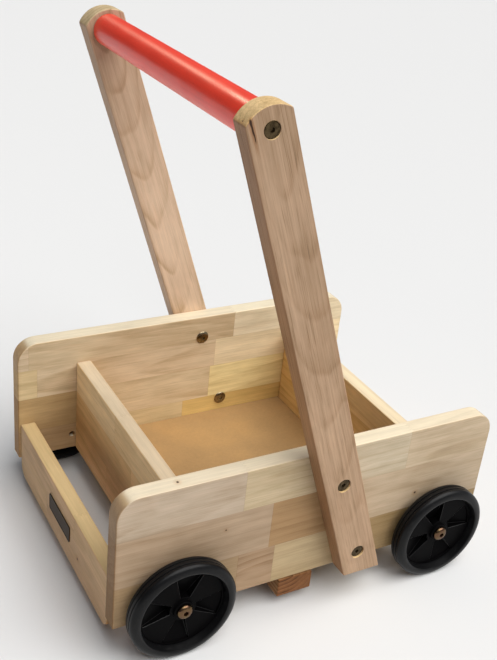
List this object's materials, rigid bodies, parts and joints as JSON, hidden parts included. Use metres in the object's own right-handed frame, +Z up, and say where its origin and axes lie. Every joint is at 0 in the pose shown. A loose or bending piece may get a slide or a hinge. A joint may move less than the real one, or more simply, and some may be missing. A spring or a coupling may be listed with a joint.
{
  "type": "baby push walker",
  "caption": "Wooden push-along walker for toddlers: an open tray on free-rolling wheels with a leaning post-and-bar push handle.",
  "frame": {"origin": "on the floor under the middle of the tray's length and width", "axes": "+X the way it rolls forwards, +Y its left side, +Z up"},
  "size_m": [0.45, 0.3812, 0.5648],
  "materials": {
    "panel_wood": "clear satin lacquer on finger-jointed rubberwood",
    "board_wood": "clear satin lacquer",
    "post_wood": "clear satin lacquer",
    "batten_wood": "matt sawn",
    "fibreboard": "matt",
    "red_paint": "semi-gloss red paint",
    "tyre_rubber": "semi-gloss",
    "wheel_plastic": "matt",
    "bronze_zinc": "bronze-coloured zinc plating",
    "yellow_zinc": "yellow zinc plating",
    "steel": "bright zinc plating",
    "bush_nylon": "satin",
    "dowel_wood": "unfinished",
    "dark_plate": "satin"
  },
  "bodies": {
    "frame": {"axle_bolt_front_left": "yellow_zinc", "axle_bolt_front_right": "yellow_zinc", "axle_bolt_rear_left": "yellow_zinc", "axle_bolt_rear_right": "yellow_zinc", "axle_bush_front_left": "bush_nylon", "axle_bush_front_right": "bush_nylon", "axle_bush_rear_left": "bush_nylon", "axle_bush_rear_right": "bush_nylon", "axle_insert_front_left": "steel", "axle_insert_front_right": "steel", "axle_insert_rear_left": "steel", "axle_insert_rear_right": "steel", "base_board": "fibreboard", "batten_screw_left_inner": "steel", "batten_screw_left_outer": "steel", "batten_screw_right_inner": "steel", "batten_screw_right_outer": "steel", "cross_batten": "batten_wood", "divider_board": "board_wood", "divider_dowel_left_lower": "dowel_wood", "divider_dowel_left_upper": "dowel_wood", "divider_dowel_right_lower": "dowel_wood", "divider_dowel_right_upper": "dowel_wood", "front_board": "board_wood", "front_dowel_left_lower": "dowel_wood", "front_dowel_left_upper": "dowel_wood", "front_dowel_right_lower": "dowel_wood", "front_dowel_right_upper": "dowel_wood", "handle_bar": "red_paint", "handle_bolt_left": "bronze_zinc", "handle_bolt_right": "bronze_zinc", "handle_insert_left": "steel", "handle_insert_right": "steel", "handle_post_left": "post_wood", "handle_post_right": "post_wood", "name_plate": "dark_plate", "post_bolt_left_lower": "bronze_zinc", "post_bolt_left_upper": "bronze_zinc", "post_bolt_right_lower": "bronze_zinc", "post_bolt_right_upper": "bronze_zinc", "rear_board": "board_wood", "rear_dowel_left_lower": "dowel_wood", "rear_dowel_left_upper": "dowel_wood", "rear_dowel_right_lower": "dowel_wood", "rear_dowel_right_upper": "dowel_wood", "side_panel_left": "panel_wood", "side_panel_right": "panel_wood", "sleeve_nut_left_lower": "bronze_zinc", "sleeve_nut_left_upper": "bronze_zinc", "sleeve_nut_right_lower": "bronze_zinc", "sleeve_nut_right_upper": "bronze_zinc"},
    "front_left_wheel": {"tyre_front_left": "tyre_rubber", "wheel_hub_front_left": "wheel_plastic"},
    "front_right_wheel": {"tyre_front_right": "tyre_rubber", "wheel_hub_front_right": "wheel_plastic"},
    "rear_left_wheel": {"tyre_rear_left": "tyre_rubber", "wheel_hub_rear_left": "wheel_plastic"},
    "rear_right_wheel": {"tyre_rear_right": "tyre_rubber", "wheel_hub_rear_right": "wheel_plastic"}
  },
  "joints": [
    {"name": "front_left_roll", "type": "hinge", "parent": "frame", "child": "front_left_wheel", "pos_m": [0.1608, 0.1805, 0.058], "axis": [0, 1, 0], "continuous": true},
    {"name": "front_right_roll", "type": "hinge", "parent": "frame", "child": "front_right_wheel", "pos_m": [0.1608, -0.1805, 0.058], "axis": [0, 1, 0], "continuous": true},
    {"name": "rear_left_roll", "type": "hinge", "parent": "frame", "child": "rear_left_wheel", "pos_m": [-0.1583, 0.1805, 0.058], "axis": [0, 1, 0], "continuous": true},
    {"name": "rear_right_roll", "type": "hinge", "parent": "frame", "child": "rear_right_wheel", "pos_m": [-0.1583, -0.1805, 0.058], "axis": [0, 1, 0], "continuous": true}
  ]
}
